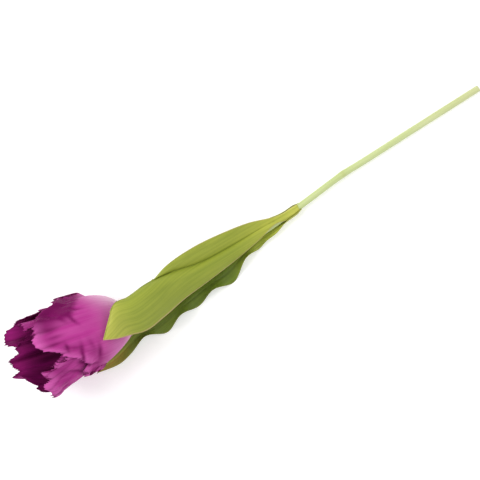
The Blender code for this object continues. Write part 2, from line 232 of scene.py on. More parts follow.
# %% Blades as closed skins
def blade_piece(name, outer, thickness, finish, replaced, notes, layout):
    """A closed blade from the grid of its outer face and how thick it is at each point."""
    columns, rows = outer.shape[:2]
    inner = outer - grid_normals(outer) * thickness[..., None]
    count = columns * rows
    face = grid_quads(columns, rows)
    back = grid_quads(columns, rows, first=count)[:, ::-1]
    loop = edge_loop(columns, rows)
    after = np.roll(loop, -1)
    strip = np.stack([after, loop, loop + count, after + count], -1)
    points = np.concatenate([outer.reshape(-1, 3), inner.reshape(-1, 3)])
    carried = {label: np.tile(values.ravel(), 2) for label, values in notes.items()}
    carried["inner_face"] = np.repeat([0.0, 1.0], count)
    sheet = np.tile(np.stack(layout, -1).reshape(-1, 2), (2, 1))
    faces = np.concatenate([face, back, strip]).tolist()
    new_piece(name, points, faces, finish, replaced, carried, sheet)


# %% [markdown]
# The bloom has its own directions: its axis points away from the stem and tilts up from the table, and
# azimuths are counted round it, with 0 on the upper side and 90 degrees on the side away from the lower
# leaf.

# %% The bloom's axis
BLOOM_BASE = np.array([-124.7, -36.5, 19.0])
BLOOM_HEADING = np.array([-0.985, 0.172, 0.0])
BLOOM_TILT = math.radians(20.0)

bloom_axis = BLOOM_HEADING * math.cos(BLOOM_TILT) / np.linalg.norm(BLOOM_HEADING)
bloom_axis = bloom_axis + np.array([0.0, 0.0, math.sin(BLOOM_TILT)])
bloom_up = np.array([0.0, 0.0, 1.0]) - bloom_axis[2] * bloom_axis
bloom_up = bloom_up / np.linalg.norm(bloom_up)
bloom_side = np.cross(bloom_up, -bloom_axis)
print("the bloom's axis:", bloom_axis.round(3).tolist())

# %% [markdown]
# A tulip's six petals stand in two whorls of three and share one cup. Here the cup is a single function:
# at each azimuth round the bloom's axis it says how far the wall leans, and adding the lean up from the
# root gives radius and rise. Petals drawn on the same cup can never cut each other, as long as each keeps
# its own small distance from it. Heights are shares of the length of a petal from root to rim.

# %% The cup that the petals share
PETAL_ARC = 116.0
PETAL_ROOT_RADIUS = 4.8
CUP_SPREAD = 0.86
CUP_STEPS = 40
HEIGHTS = [0.0, 0.08, 0.18, 0.30, 0.45, 0.60, 0.75, 0.88, 1.0, 1.15]
# Lean of the wall from the axis, in degrees outward, at each of the heights
LEAN_UP = [74, 66, 47, 24, 4, -5, -12, -14, -10, -6]
LEAN_LEFT = [74, 66, 48, 26, 8, -1, -4, 1, 9, 14]
LEAN_DOWN = [72, 62, 46, 28, 8, -2, -4, -2, 4, 10]
LEAN_RIGHT = [44, 35, 31, 30, 10, 14, 6, -44, -66, -70]


def cup_lean(azimuth, height):
    """Lean of the wall: the four sides' leans, weighted by cos^2 and sin^2 of the azimuth."""
    up, left, down, right = (
        through(height, HEIGHTS, lean) for lean in (LEAN_UP, LEAN_LEFT, LEAN_DOWN, LEAN_RIGHT)
    )
    across, along = np.sin(azimuth), np.cos(azimuth)
    lean = along**2 * np.where(along > 0, up, down) + across**2 * np.where(across > 0, left, right)
    return np.radians(lean)


def cup(azimuth, height):
    """Radius and rise: the mean sine and cosine of the lean below a height, times the arc up to it."""
    radius = np.zeros(height.shape)
    rise = np.zeros(height.shape)
    for share in (np.arange(CUP_STEPS) + 0.5) / CUP_STEPS:
        lean = cup_lean(azimuth, height * share)
        radius += np.sin(lean) / CUP_STEPS
        rise += np.cos(lean) / CUP_STEPS
    return PETAL_ROOT_RADIUS + CUP_SPREAD * PETAL_ARC * height * radius, PETAL_ARC * height * rise


def on_cup(azimuth, height, offset):
    """Points of the cup at an azimuth and a height, moved outward along its normal by the offset."""
    radius, rise = cup(azimuth, height)
    lean = cup_lean(azimuth, height)
    radius = radius + offset * np.cos(lean)
    rise = rise - offset * np.sin(lean)
    outward = np.cos(azimuth)[..., None] * bloom_up + np.sin(azimuth)[..., None] * bloom_side
    return BLOOM_BASE + bloom_axis * rise[..., None] + outward * radius[..., None]


widest, above_root = cup(np.array([0.0]), np.array([0.5]))
print(f"half way up its upper side the cup is {widest[0]:.1f} mm in radius, {above_root[0]:.1f} mm up")

# %% [markdown]
# A fringed tulip's rim is ruffled, and its folds run down into the cup. The broad folds are the same in
# every layer. The ruffles go outward only on the outer whorl and inward only on the inner one, so the
# whorls stay apart. Gathers are the many small folds that fan out toward the fringe.

# %% Folds, ruffles and gathers
# size in mm, number of waves round the bloom, phase, and drift with height
BROAD_FOLDS = [(1.3, 3, 0.6, 0.0), (0.7, 2, -1.0, 4.0), (1.1, 5, 2.1, 2.0)]
# push in mm, then the share, number and phase of two waves
OUTER_RUFFLE = (5.4, (0.32, 11, 0.9), (0.18, 18, 2.0))
INNER_RUFFLE = (-4.8, (0.30, 10, 2.4), (0.20, 17, 0.3))
GATHERS = 9


def common_folds(azimuth, height):
    """Slow sine waves round the bloom, growing toward the rim."""
    waves = sum(
        size * np.sin(count * azimuth + phase + drift * height) for size, count, phase, drift in BROAD_FOLDS
    )
    return smoothstep(height, 0.25, 0.9) * waves


def rim_ruffles(azimuth, height, outer):
    """Two quicker sine waves, lifted by a half so that they only ever push one way."""
    push, *waves = OUTER_RUFFLE if outer else INNER_RUFFLE
    wave = 0.5 + sum(share * np.sin(count * azimuth + phase) for share, count, phase in waves)
    return push * smoothstep(height, 0.45, 1.0) * wave


def gathers(azimuth, height, seed, slant):
    """0 in each sharp valley, 1 on each round crest: the absolute sine of a bent azimuth, to the 0.7."""
    bent = azimuth - slant * (height - 0.8)
    return np.abs(np.sin(GATHERS * bent + 1.3 * np.sin(3 * azimuth + seed) + seed)) ** 0.7


def toward_rim(height):
    """0 in the lower cup and 1 near the rim, where the gathers are full."""
    return smoothstep(height, 0.42, 0.85)


print("waves in the broad folds:", [count for _, count, _, _ in BROAD_FOLDS])

# %% [markdown]
# Creases are the short lines where a petal has been pressed, darkened by painted shade. Each one is a row of
# a table: where it is on the cup, how it is turned, and how long, wide and deep it is. Their painted shade
# follows the table, but they are sunk less and over a wider band, because a narrow deep line would cut into
# the petal behind.

# %% Creases
CREASES = [
    # azimuth, height, turn from the axis in degrees, half length, half width and depth in mm
    (-20, 0.60, 90, 9.0, 1.7, 2.4),
    (-27, 0.46, 82, 9.0, 1.8, 2.0),
    (-4, 0.70, 80, 4.0, 1.2, 2.4),
    (-42, 0.54, 30, 11.0, 1.7, 2.2),
    (-12, 0.52, 70, 6.0, 2.0, 1.1),
    (43, 0.70, 49, 8.0, 1.8, 2.8),
    (33, 0.60, 60, 7.0, 1.6, 2.0),
    (48, 0.56, 10, 7.0, 1.5, 1.8),
    (58, 0.58, 0, 7.0, 1.5, 1.8),
    (68, 0.55, -8, 7.0, 1.5, 1.7),
    (78, 0.54, -8, 7.0, 1.5, 1.5),
    (30, 0.78, 8, 7.0, 1.6, 1.5),
    (16, 0.76, 4, 7.0, 1.6, 1.4),
    (6, 0.78, 0, 5.0, 1.4, 1.3),
    (-52, 0.62, 30, 12.0, 1.6, 1.6),
    (-84, 0.78, 10, 16.0, 2.2, 1.5),
    (-110, 0.80, 0, 18.0, 2.6, 1.5),
    (-134, 0.80, 0, 18.0, 2.6, 1.5),
    (92, 0.74, 0, 16.0, 2.4, 1.5),
    (116, 0.80, 0, 18.0, 2.6, 1.5),
    (140, 0.80, 0, 18.0, 2.6, 1.4),
    (172, 0.80, 0, 18.0, 3.0, 1.4),
    (206, 0.80, 0, 18.0, 3.0, 1.4),
]
MM_PER_DEGREE = 0.6
CREASE_SINK = 0.55
CREASE_SPREAD = 1.7
FULL_CREASE = 2.0


def creases(azimuth, height, spread=1.0):
    """Depth of the creases: for each, a bell curve across its line times a longer one along it."""
    depth = np.zeros(azimuth.shape)
    for centre, level, turn, long, wide, deep in CREASES:
        around = ((np.degrees(azimuth) - centre + 180.0) % 360.0 - 180.0) * MM_PER_DEGREE
        up = (height - level) * PETAL_ARC
        cosine, sine = math.cos(math.radians(turn)), math.sin(math.radians(turn))
        depth += deep * bump_at(around * cosine - up * sine, 0, spread * wide) * bump_at(
            up * cosine + around * sine, 0, long
        )
    return depth


print("creases:", len(CREASES))

# %% [markdown]
# Each petal is a fan of rays from its root, from one side through the apex to the other. Along every ray
# the blade runs out to a squarish outline, and the last of it is cut into the fringe: a zigzag whose teeth
# differ in length by sine waves of their number, so no two next to each other match and every run gives
# the same ones.

# %% A petal's outline and fringe
FRINGE_TEETH = 88
FRINGE_FROM = 0.93


def fringe(ray, along, seed):
    """Length added at the margin: a triangle wave of the tooth's number, times that tooth's size."""
    place = FRINGE_TEETH * (ray / math.pi + 0.5)
    index = np.floor(place)
    zigzag = (1.0 - np.abs(2.0 * (place - index) - 1.0)) ** 1.2
    size = 1.2 + 0.7 * np.sin(1.7 * index + seed) + 0.6 * np.sin(2.9 * index + 2 * seed)
    size = size + 1.4 * np.maximum(np.sin(0.41 * index + seed), 0.0) ** 6
    scallop = 1.5 * np.sin(15 * ray + seed) + 1.1 * np.sin(26 * ray + 2 * seed) + 0.5 * np.sin(43 * ray)
    shorter = 0.5 + 0.5 * np.abs(np.cos(ray))
    return (size * zigzag - 0.9) * shorter * smoothstep(along, FRINGE_FROM, 1.0) + scallop * along**6


def petal_outline(petal, ray):
    """Share of the half width and of the length that the margin reaches along a ray.

    Both are powers of the ray's sine and cosine, which makes the outline squarish. Slow lobes, a point at
    the apex and a slant of the top are added to the height, and a bay on one side of the apex and a drop
    on the other are taken off it.
    """
    across, along = np.sin(ray), np.abs(np.cos(ray))
    width = np.sign(across) * np.abs(across) ** 0.77
    lobes = 0.04 * np.sin(5 * ray + 1.3 * petal["seed"]) + 0.03 * np.sin(9 * ray + 2.1 * petal["seed"])
    point = petal["apex"] * bump_at(ray, 0.0, 0.13)
    taller = petal["skew"] * across * along**0.5
    bay = petal["bay"] * smoothstep(ray, 0.34, 0.52) * smoothstep(-ray, -1.50, -1.0)
    drop = petal["drop"] * smoothstep(-ray, -0.05, 0.45) * (1.0 - 0.8 * smoothstep(-ray, 0.6, 1.2))
    height = (0.55 + 0.45 * along**0.77) * (1 + lobes * along) + point + taller - bay - drop
    return width, petal["length"] * height


print(f"a petal has {FRINGE_TEETH} teeth, on the last {100 * (1 - FRINGE_FROM):.0f} % of its rays")

# %% [markdown]
# The petals of a whorl lap over each other. Most have one side a little further out than their layer and
# the other a little further in, while the front petal lies over both its neighbours and the right one under
# both. On top of that layer come the folds of the last cells, a rim that rolls outward with a faint hollow
# behind it, and, on the front petal, the lobe that curls over at the bloom's upper edge.

# %% How far a petal stands off the cup
WHORL_OFFSET = 1.75
OVERLAP_OFFSET = 0.95
LAYER_AT_ROOT = 0.62
ROLL_MARGIN = 3.0
HOLLOW_MARGIN = 13.0
ROLL_WIDTH = 4.5
HOLLOW_SHARE = 0.25
GATHER_HEIGHT = 1.3
LIP_HEIGHT = 1.6


def petal_layer(petal, height, share):
    """The layer's distance from the cup, growing from the root, and the overlap at this side."""
    side = np.where(share > 0, petal["overlaps"][1], petal["overlaps"][0]) * np.abs(share)
    grown = LAYER_AT_ROOT + (1.0 - LAYER_AT_ROOT) * smoothstep(height, 0.0, 0.3)
    whorl = WHORL_OFFSET if petal["outer"] else -WHORL_OFFSET
    return grown * (whorl + OVERLAP_OFFSET * side), side


def curled_lobe(petal, azimuth, height):
    """1 on the lobe: past an azimuth of 42 degrees, and above a line that falls with the azimuth."""
    degrees = np.degrees(azimuth)
    beyond = height - 0.57 + 0.0027 * (degrees - 33.0)
    return petal["lip"] * smoothstep(degrees, 30.0, 42.0) * smoothstep(beyond, 0.0, 0.07)


def petal_offset(petal, azimuth, height, margin, share):
    """Distance off the cup: layer, roll, folds, ruffles, gathers and lobe added, and creases taken off."""
    layer, side = petal_layer(petal, height, share)
    hollow = HOLLOW_SHARE * bump_at(margin, HOLLOW_MARGIN, ROLL_WIDTH)
    roll = petal["curl"] * (bump_at(margin, ROLL_MARGIN, ROLL_WIDTH) - hollow)
    free = np.where(side < 0, 1.0 - smoothstep(np.abs(share), 0.15, 0.65), 1.0)
    gathered = gathers(azimuth, height, petal["seed"], petal["slant"]) * toward_rim(height)
    offset = layer + roll + common_folds(azimuth, height)
    offset = offset + rim_ruffles(azimuth, height, petal["outer"])
    offset = offset - CREASE_SINK * creases(azimuth, height, spread=CREASE_SPREAD)
    return offset + GATHER_HEIGHT * gathered * free + LIP_HEIGHT * curled_lobe(petal, azimuth, height)


print(f"the whorls lie {2 * WHORL_OFFSET:.1f} mm apart")

# %% [markdown]
# Now the parts come together. A point's ray and reach give its azimuth and height, these give its place off
# the cup, and whatever would sink into the table is pressed flat on it, the outermost layer lowest. The
# same values make the notes for the finish.

# %% One petal as a function of ray and reach
PETAL_THICKNESS = 0.55
BLOOM_RADIUS = 36.0
FARTHEST_MARGIN = 60.0
PRESSED_SPACING = 1.3


def petal_notes(petal, ray, share, azimuth, height, margin):
    """What the finish asks for: places by height and margin, and how deep creases and gathers are."""
    crest = gathers(azimuth, height, petal["seed"], petal["slant"])
    lobe = curled_lobe(petal, azimuth, height)
    return {
        "height": height,
        "margin": margin,
        # painted shade in the creases
        "crease_shade": np.clip(creases(azimuth, height) / FULL_CREASE, 0.0, 1.0),
        # painted shade in the valleys between gathers
        "valley": (1.0 - crest) ** 2 * toward_rim(height),
        "lip": lobe * smoothstep(-np.degrees(azimuth), -100.0, -78.0),
        # painted shade over the middle of the petal
        "flame": bump_at(ray, 0.1, 0.5) * bump_at(height, 0.52, 0.22),
        # painted shade in the hollow behind the rim
        "hollow": bump_at(margin, 15.0, 6.0),
        # pale base: partly the petal's own colour, partly a painted highlight that is strongest on one side
        "pale": smoothstep(-height, -0.54, -0.12) * (0.15 + 0.85 * smoothstep(share, 0.15, 0.7)),
    }


def petal_surface(petal, ray, along):
    """Points of the outer face, and their notes, from the ray's angle and the share of its reach."""
    width, reach = petal_outline(petal, ray)
    tooth = fringe(ray, along, petal["seed"])
    share = width * (0.7 + 0.3 * smoothstep(along, 0.0, 0.4))
    height = reach * along + tooth * np.cos(ray) / PETAL_ARC
    azimuth = math.radians(petal["azimuth"]) + math.radians(petal["half_width"]) * share
    azimuth = azimuth + tooth * np.sin(ray) / BLOOM_RADIUS
    margin = np.clip((1.0 - along) * reach * PETAL_ARC, 0.0, FARTHEST_MARGIN)
    points = on_cup(azimuth, height, petal_offset(petal, azimuth, height, margin, share))
    layer, _ = petal_layer(petal, height, share)
    pressed = PRESSED_SPACING * np.maximum(WHORL_OFFSET - layer, 0.0)
    points[..., 2] = np.maximum(points[..., 2], pressed)
    return points, petal_notes(petal, ray, share, azimuth, height, margin)


print(f"a petal is {PETAL_THICKNESS} mm thick")

# %% [markdown]
# A finish is a small network of shader nodes. These helpers keep each one readable: one adds a node, one
# reads a note that the mesh carries, one does a sum, one fades a value in, and one turns a value into a
# colour.


# %% Helpers for shader nodes
def add_node(tree, kind, inputs=None, **settings):
    """A shader node. Each input is given by name: a socket is linked, and anything else is its value."""
    node = tree.nodes.new(kind)
    for name, value in settings.items():
        setattr(node, name, value)
    for name, value in (inputs or {}).items():
        if isinstance(value, bpy.types.NodeSocket):
            tree.links.new(value, node.inputs[name])
        else:
            node.inputs[name].default_value = value
    return node


def note(tree, label):
    """The value that the mesh carries under a label."""
    return add_node(tree, "ShaderNodeAttribute", attribute_name=label).outputs["Fac"]


def calculate(tree, operation, first, second):
    """One sum on two values."""
    node = add_node(tree, "ShaderNodeMath", {0: first, 1: second}, operation=operation)
    return node.outputs[0]


def step_between(tree, value, low, high):
    """0 below low, 1 above high, and smooth between. Low may be the greater, to turn it round."""
    inputs = {"Value": value, "From Min": low, "From Max": high}
    return add_node(tree, "ShaderNodeMapRange", inputs, interpolation_type="SMOOTHSTEP").outputs[0]


def colours_along(tree, value, stops):
    """A colour ramp from its stops, each a place and a colour."""
    ramp = add_node(tree, "ShaderNodeValToRGB", {"Fac": value})
    ramp.color_ramp.interpolation = "EASE"
    for place, _ in stops[2:]:
        ramp.color_ramp.elements.new(place)
    for element, (place, colour) in zip(ramp.color_ramp.elements, stops):
        element.position = place
        element.color = (*colour, 1.0)
    return ramp.outputs["Color"]


# %% [markdown]
# Most of a finish is one colour laid over another where some mask says so, as a painter glazes. The mask
# may be a note, a noise or a fade, and it counts in full or in part.


# %% Laying one colour over another
def mixed(tree, share, first, second):
    """Two colours mixed by a share that varies over the surface."""
    node = tree.nodes.new("ShaderNodeMix")
    node.data_type = "RGBA"
    for socket, value in ((node.inputs[0], share), (node.inputs[6], first), (node.inputs[7], second)):
        if isinstance(value, bpy.types.NodeSocket):
            tree.links.new(value, socket)
        else:
            socket.default_value = (*value, 1.0)
    return node.outputs[2]


def tinted(tree, colour, mask, strength, tint):
    """The colour, with the tint laid over it by the mask times the strength."""
    return mixed(tree, calculate(tree, "MULTIPLY", mask, strength), colour, tint)


# %% [markdown]
# Veins run from root to margin in petals and leaves alike, and fibres run the same way in the stem, so one
# group draws them all. It stretches noise along the piece's own UV map: many fine streaks side by side
# across the blade, each of them long. A second group gives the slow cloudy change of tone that keeps a
# living surface from looking painted. It reads Object coordinates, so it flows over the flower as a whole.


# %% Node groups that the finishes share
def start_group(name, inputs, outputs):
    """A node group with float inputs, as names and values, and float outputs."""
    group = bpy.data.node_groups.new(name, "ShaderNodeTree")
    for label, value in inputs.items():
        socket = group.interface.new_socket(label, in_out="INPUT", socket_type="NodeSocketFloat")
        socket.default_value = value
    for label in outputs:
        group.interface.new_socket(label, in_out="OUTPUT", socket_type="NodeSocketFloat")
    return group, group.nodes.new("NodeGroupInput"), group.nodes.new("NodeGroupOutput")


def make_veins_group():
    """Streaks: noise on (u x count, v x length), once fine and once at a third of the count."""
    group, given, result = start_group(
        "veins", {"Count": 90.0, "Length": 2.0, "Offset": 0.0}, ["Fine", "Broad", "Height"]
    )
    sheet = add_node(group, "ShaderNodeUVMap", uv_map="blade").outputs["UV"]
    sides = add_node(group, "ShaderNodeSeparateXYZ", {"Vector": sheet}).outputs
    for label, share in (("Fine", 1.0), ("Broad", 0.33)):
        across = calculate(group, "MULTIPLY", sides["X"], given.outputs["Count"])
        across = calculate(group, "MULTIPLY", across, share)
        along = calculate(group, "MULTIPLY", sides["Y"], given.outputs["Length"])
        place = {"X": across, "Y": along, "Z": given.outputs["Offset"]}
        vector = add_node(group, "ShaderNodeCombineXYZ", place).outputs[0]
        noise = add_node(group, "ShaderNodeTexNoise", {"Vector": vector, "Scale": 1.0, "Detail": 2.0})
        group.links.new(step_between(group, noise.outputs["Fac"], 0.32, 0.68), result.inputs[label])
        if label == "Fine":
            group.links.new(noise.outputs["Fac"], result.inputs["Height"])
    return group


def make_clouds_group():
    """Slow noise on Object coordinates, with patches of the size given in millimetres."""
    group, given, result = start_group("clouds", {"Size": 20.0}, ["Cloud"])
    place = add_node(group, "ShaderNodeTexCoord").outputs["Object"]
    scale = calculate(group, "DIVIDE", 1000.0, given.outputs["Size"])
    noise = add_node(group, "ShaderNodeTexNoise", {"Vector": place, "Scale": scale, "Detail": 3.0})
    group.links.new(step_between(group, noise.outputs["Fac"], 0.3, 0.7), result.inputs["Cloud"])
    return group


veins_group = make_veins_group()
clouds_group = make_clouds_group()
print("shared groups:", [group.name for group in bpy.data.node_groups])

# %% [markdown]
# Every finish starts from Blender's own Principled shader and ends in the same way: a colour, and a height
# that a Bump node turns into fine relief.


# %% The start and end of a finish
def use_group(tree, group, **values):
    """The outputs of a shared group, placed in a material with its own values."""
    node = add_node(tree, "ShaderNodeGroup", node_tree=group)
    for label, value in values.items():
        node.inputs[label].default_value = value
    return node.outputs


def start_finish(name, roughness, specular=0.5):
    """A new material, its tree and its Principled shader."""
    made = bpy.data.materials.new(name)
    made.use_nodes = True
    shader = made.node_tree.nodes["Principled BSDF"]
    shader.inputs["Roughness"].default_value = roughness
    shader.inputs["Specular IOR Level"].default_value = specular
    return made, made.node_tree, shader


def finish_surface(tree, shader, colour, height, strength, distance):
    """Colour into the shader, and a height through a Bump node into its normal."""
    tree.links.new(colour, shader.inputs["Base Color"])
    bump = add_node(tree, "ShaderNodeBump", {"Height": height, "Strength": strength, "Distance": distance})
    tree.links.new(bump.outputs["Normal"], shader.inputs["Normal"])


# %% [markdown]
# A petal is pale at its base and magenta above, with fine darker veins. Painted shade deepens its middle and
# the hollow behind its rim, a painted highlight lightens the rim where it rolls outward, and the pale base
# is partly its own colour and partly painted highlight. Its inner face is a far deeper burgundy, and painted
# shade makes it nearly black down in the mouth. The fringe is dark at its very ends. The notes on the mesh
# say where each of these is. A petal is matt, so its finish is rough and hardly shines.

# %% How a petal is coloured
# the pale base is partly the petal's own colour and partly painted highlight
PALE_BASE_AND_HIGHLIGHT = (0.92, 0.72, 0.82)
BROAD_VEIN = (0.66, 0.18, 0.46)
LOBE_BURGUNDY = (0.15, 0.004, 0.078)
OUTER_TIPS = (0.20, 0.01, 0.10)
INNER_TIPS = (0.03, 0.002, 0.016)
INNER_VEIN_DARK = (0.05, 0.001, 0.025)
INNER_VEIN_LIGHT = (0.28, 0.014, 0.13)
# painted shade in the creases
CREASE_SHADE_COLOUR = (0.17, 0.003, 0.09)
# painted shade in the valleys between gathers
VALLEY_SHADE_COLOUR = (0.13, 0.005, 0.065)


def outer_face(tree, look, veins):
    """Colours by height, painted shade in the middle and behind the rim, a painted highlight on the rim, the
    pale base with painted highlight, then the veins, the lobe and the tips.
    """
    margin = note(tree, "margin")
    cloud = use_group(tree, clouds_group, Size=22.0)["Cloud"]
    colour = colours_along(tree, note(tree, "height"), look["outer"])
    # painted shade over the middle of the petal
    colour = tinted(tree, colour, note(tree, "flame"), 0.90, look["flame"])
    # painted shade in the hollow behind the rim
    colour = tinted(tree, colour, note(tree, "hollow"), 0.50, look["flame"])
    # painted highlight on the rim where it rolls outward
    colour = tinted(tree, colour, step_between(tree, margin, 11.0, 4.0), 0.65, look["rim_highlight"])
    # the pale base: partly the petal's own colour, partly painted highlight
    colour = mixed(tree, note(tree, "pale"), colour, PALE_BASE_AND_HIGHLIGHT)
    colour = tinted(tree, colour, veins["Fine"], 0.20, look["flame"])
    colour = tinted(tree, colour, veins["Broad"], 0.14, BROAD_VEIN)
    colour = tinted(tree, colour, cloud, 0.16, look["flame"])
    colour = tinted(tree, colour, note(tree, "lip"), 1.1, LOBE_BURGUNDY)
    return tinted(tree, colour, step_between(tree, margin, 1.3, 0.0), 0.30, OUTER_TIPS)


def inner_face(tree, look, veins):
    """Colours by height, darkest down in the mouth as painted shade, then dark and light veins, and the dark
    tips of the fringe.
    """
    colour = colours_along(tree, note(tree, "height"), look["inner"])
    colour = tinted(tree, colour, veins["Fine"], 0.25, INNER_VEIN_DARK)
    colour = tinted(tree, colour, veins["Broad"], 0.20, INNER_VEIN_LIGHT)
    return tinted(tree, colour, step_between(tree, note(tree, "margin"), 1.3, 0.0), 0.60, INNER_TIPS)


def petal_finish(name, look):
    """The two faces' colours, with painted shade along the creases and in the valleys between gathers."""
    made, tree, shader = start_finish(name, roughness=0.6, specular=0.06)
    veins = use_group(tree, veins_group, Count=150.0, Length=2.2, Offset=look["offset"])
    faces = outer_face(tree, look, veins), inner_face(tree, look, veins)
    colour = mixed(tree, note(tree, "inner_face"), *faces)
    # painted shade in the creases
    colour = tinted(tree, colour, note(tree, "crease_shade"), 0.90, CREASE_SHADE_COLOUR)
    # painted shade in the valleys between gathers
    colour = tinted(tree, colour, note(tree, "valley"), 0.60, VALLEY_SHADE_COLOUR)
    finish_surface(tree, shader, colour, veins["Height"], 0.30, 0.0004)
    return made


# %% [markdown]
# The outer whorl is the lighter one. The inner whorl has the same pattern in deeper tones, and its inner
# faces are the darkest of all, with painted shade that makes them almost black deep in the mouth.

# %% The two petal finishes
petal_outside = petal_finish("petal magenta", {
    "outer": [(0.0, (0.62, 0.56, 0.30)), (0.10, (0.74, 0.44, 0.52)), (0.28, (0.50, 0.10, 0.34)),
              (0.48, (0.44, 0.04, 0.26)), (1.0, (0.44, 0.04, 0.26))],
    # inner face: its own deep burgundy, with painted shade that darkens it down in the mouth
    "inner": [(0.0, (0.45, 0.38, 0.16)), (0.22, (0.18, 0.012, 0.08)), (0.68, (0.085, 0.002, 0.037)),
              (0.98, (0.32, 0.012, 0.17))],
    # colour of the painted shade, also used for the fine veins and the clouds
    "flame": (0.24, 0.010, 0.135),
    # painted highlight on the rim
    "rim_highlight": (0.62, 0.12, 0.42),
    "offset": 3.0,
})
petal_inside = petal_finish("petal deep magenta", {
    "outer": [(0.0, (0.60, 0.58, 0.30)), (0.12, (0.60, 0.22, 0.36)), (0.45, (0.32, 0.022, 0.18)),
              (1.0, (0.28, 0.012, 0.15))],
    # inner face: its own deep burgundy, with painted shade that darkens it down in the mouth
    "inner": [(0.0, (0.42, 0.34, 0.14)), (0.22, (0.14, 0.009, 0.06)), (0.74, (0.05, 0.001, 0.023)),
              (1.0, (0.27, 0.010, 0.14))],
    # colour of the painted shade, also used for the fine veins and the clouds
    "flame": (0.16, 0.006, 0.08),
    # painted highlight on the rim
    "rim_highlight": (0.36, 0.03, 0.22),
    "offset": 11.0,
})
print("nodes in a petal's finish:", len(petal_outside.node_tree.nodes))

# %% [markdown]
# With the surface function and the finishes ready, each petal is one entry in a table: where it stands,
# how wide and long it is, which side of it lies over its neighbour, and what is special about its outline.
# The front petal rolls its rim most and has the lobe, and the right one's gathers slant.

# %% The table of petals
PLAIN_PETAL = {
    "overlaps": (-1, 1), "apex": 0.0, "skew": 0.0, "bay": 0.0, "drop": 0.0, "curl": 0.4, "slant": 0.0,
    "lip": 0.0,
}
PETALS = {
    "outer_front": {
        "outer": True, "azimuth": 14, "half_width": 84, "length": 0.85, "overlaps": (1, 1),
        "skew": 0.14, "bay": 0.20, "drop": 0.165, "curl": 2.6, "lip": 1.0, "seed": 1,
    },
    "outer_left": {
        "outer": True, "azimuth": 154, "half_width": 68, "length": 0.89,
        "apex": 0.14, "skew": 0.05, "curl": 0.6, "seed": 2,
    },
    "outer_right": {
        "outer": True, "azimuth": -86, "half_width": 70, "length": 0.81, "overlaps": (-1.3, -1.3),
        "skew": 0.26, "curl": 1.0, "slant": -3.0, "seed": 3,
    },
    "inner_top": {"outer": False, "azimuth": 80, "half_width": 62, "length": 0.93, "seed": 4},
    "inner_back": {
        "outer": False, "azimuth": 204, "half_width": 66, "length": 1.02,
        "skew": 0.05, "drop": -0.04, "seed": 5,
    },
    "inner_low": {"outer": False, "azimuth": -40, "half_width": 62, "length": 0.76, "seed": 6},
}
print("petals:", ", ".join(PETALS))

# %% [markdown]
# Four rays a tooth are enough for a sharp zigzag. The rows crowd toward the margin, where the fringe needs
# them, and the blade thins there.

# %% The six petals
RAYS = 4 * FRINGE_TEETH + 1
REACHES = 61
CROWDING = 1.35

for name, own in PETALS.items():
    petal = PLAIN_PETAL | own
    ray_share, reach_share = np.meshgrid(
        np.linspace(0.0, 1.0, RAYS), np.linspace(0.0, 1.0, REACHES), indexing="ij"
    )
    along = 1.0 - (1.0 - reach_share) ** CROWDING
    points, notes = petal_surface(petal, math.pi * (ray_share - 0.5), along)
    thickness = PETAL_THICKNESS * (1.0 - 0.5 * smoothstep(along, FRINGE_FROM, 1.0))
    finish = petal_outside if petal["outer"] else petal_inside
    layout = (ray_share, along)
    blade_piece(f"petal_{name}_fringed", points, thickness, finish, f"petal_{name}", notes, layout)

# %% [markdown]
# The stem is one line that the leaves must know too, because their sheaths wrap round it. It is a cubic
# through a dozen points, from the cut end, over its slight knee, to the receptacle under the bloom.

# %% The stem's line
STEM_RADIUS = 2.8
RECEPTACLE_RADIUS = 3.8
STEM_BEND_X = 95.7
STEM_KNOT = 0.25
STEM_ROUTE = np.array([
    [234.0, 1.4, 2.8],
    [165.0, -4.0, 3.4],
    [110.0, -8.4, 4.2],
    [95.7, -9.4, 4.5],
    [82.0, -11.4, 4.9],
    [49.9, -16.4, 6.0],
    [0.0, -22.6, 8.4],
    [-55.0, -29.6, 11.6],
    [-95.0, -35.4, 13.0],
    [-110.0, -37.4, 15.0],
    [-119.1, -37.5, 17.0],
    [-124.7, -36.5, 19.0],
])


def stem_centre(x):
    """Centre of the stem, as y and z, where it passes x."""
    route = STEM_ROUTE[::-1]
    return through(x, route[:, 0], route[:, 1]), through(x, route[:, 0], route[:, 2])


def stem_radius(x):
    """Radius where it passes x: a low knot at the bend, and the receptacle's swelling."""
    knot = STEM_KNOT * bump_at(x, STEM_BEND_X, 5.0)
    return STEM_RADIUS + knot + (RECEPTACLE_RADIUS - STEM_RADIUS) * smoothstep(-x, 115.7, 122.7)


print(f"the stem spans {np.ptp(STEM_ROUTE[:, 0]):.0f} mm and climbs {np.ptp(STEM_ROUTE[:, 2]):.0f} mm")

# %% [markdown]
# A tulip's leaf is a long blade with a midrib and parallel veins. Guide curves along the stem's direction
# say where its two margins and its midrib run, and a grid stretched over them is the blade. Its margin
# waves, most of all on the lower side, and shallow pleats run beside the midrib.

# %% A leaf's blade
LEAF_THICKNESS = 0.6
WAVE_START = -31.0
UPPER_SIDE_WAVE = 0.3
UPPER_SIDE_ARCH = 0.25
FLUTTER = 0.5
GROOVE_DEPTH = 0.5
PLEAT_SHARE = 0.7


def guide(leaf, label, x):
    """One of the leaf's guide curves where it passes x: a cubic through its readings."""
    return through(x, leaf["stations"], leaf[label])


def pleats(across):
    """Two shallow folds beside the midrib: bell curves at 0.38 and 0.62 of the half width."""
    return bump_at(across, -0.38, 0.08) + 0.7 * bump_at(across, 0.62, 0.10)


